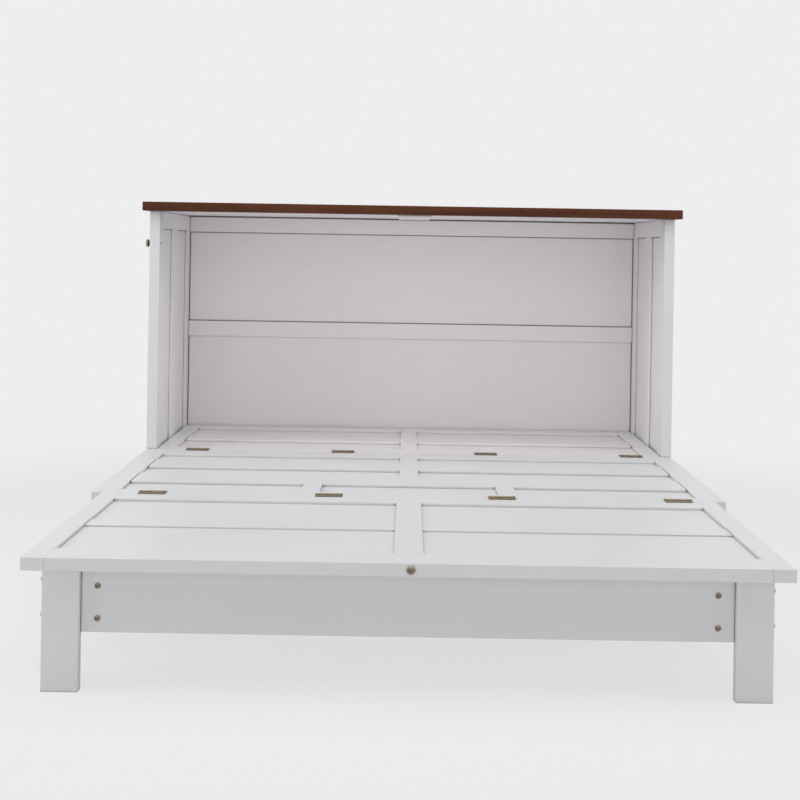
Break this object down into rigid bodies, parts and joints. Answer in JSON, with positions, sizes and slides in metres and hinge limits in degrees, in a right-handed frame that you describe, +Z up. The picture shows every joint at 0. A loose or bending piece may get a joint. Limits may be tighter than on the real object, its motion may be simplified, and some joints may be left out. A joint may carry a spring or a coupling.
{
  "type": "cabinet bed",
  "caption": "Cabinet bed shown open: hinged platform sections on legs unfold from a panelled headboard cabinet with an overhanging wooden top.",
  "frame": {"origin": "middle of the footprint on the floor, bed unfolded", "axes": "+Z up, +Y from the foot end towards the cabinet's back, +X to the right seen from the foot end"},
  "size_m": [1.688, 2.0876, 1.0625],
  "materials": {
    "white_paint": "satin white paint with faint horizontal grain",
    "brown_top": "dark walnut-brown stain under satin lacquer",
    "antique_brass": "aged antique brass, slightly dull"
  },
  "bodies": {
    "cabinet": {"cabinet_top": "brown_top", "top_liner": "white_paint", "side_frame_left": "white_paint", "side_frame_right": "white_paint", "side_panel_left": "white_paint", "side_panel_right": "white_paint", "back_board": "white_paint", "back_top_rail": "white_paint", "back_middle_rail": "white_paint", "ledger_left": "white_paint", "ledger_right": "white_paint", "kick_board": "white_paint", "head_stile_left": "white_paint", "head_stile_right": "white_paint", "head_front_rail": "white_paint", "head_rear_rail": "white_paint", "head_base_board": "white_paint", "head_slat": "white_paint", "head_centre_stile": "white_paint", "hinge_a_head_leaf_1": "antique_brass", "hinge_a_head_leaf_2": "antique_brass", "hinge_a_head_leaf_3": "antique_brass", "hinge_a_head_leaf_4": "antique_brass"},
    "latch": {"latch_knob": "antique_brass"},
    "middle_section": {"mid_stile_left": "white_paint", "mid_stile_right": "white_paint", "mid_front_rail": "white_paint", "mid_rear_rail": "white_paint", "mid_base_board": "white_paint", "mid_front_slat": "white_paint", "mid_rear_slat": "white_paint", "mid_centre_stile": "white_paint", "hinge_a_mid_leaf_1": "antique_brass", "hinge_a_mid_leaf_2": "antique_brass", "hinge_a_mid_leaf_3": "antique_brass", "hinge_a_mid_leaf_4": "antique_brass", "hinge_b_mid_leaf_1": "antique_brass", "hinge_b_mid_leaf_2": "antique_brass", "hinge_b_mid_leaf_3": "antique_brass", "hinge_b_mid_leaf_4": "antique_brass"},
    "foot_section": {"foot_stile_left": "white_paint", "foot_stile_right": "white_paint", "foot_front_rail": "white_paint", "foot_rear_rail": "white_paint", "foot_front_board": "white_paint", "foot_rear_board": "white_paint", "foot_centre_stile": "white_paint", "leg_front_left": "white_paint", "leg_front_right": "white_paint", "leg_rear_left": "white_paint", "leg_rear_right": "white_paint", "apron_front": "white_paint", "apron_rear": "white_paint", "apron_left": "white_paint", "apron_right": "white_paint", "hinge_b_foot_leaf_1": "antique_brass", "hinge_b_foot_leaf_2": "antique_brass", "hinge_b_foot_leaf_3": "antique_brass", "hinge_b_foot_leaf_4": "antique_brass", "tie_bolt": "antique_brass"}
  },
  "joints": [
    {"name": "mid_fold", "type": "hinge", "parent": "cabinet", "child": "middle_section", "pos_m": [0, 0.43775, 0.289], "axis": [-1, 0, 0], "range_deg": [0, 87]},
    {"name": "foot_fold", "type": "hinge", "parent": "middle_section", "child": "foot_section", "pos_m": [0, -0.30425, 0.289], "axis": [-1, 0, 0], "range_deg": [0, 180]},
    {"name": "latch_pull", "type": "slide", "parent": "cabinet", "child": "latch", "axis": [-1, 0, 0], "range_m": [0, 0.012], "stiffness_N_per_m": 300}
  ]
}
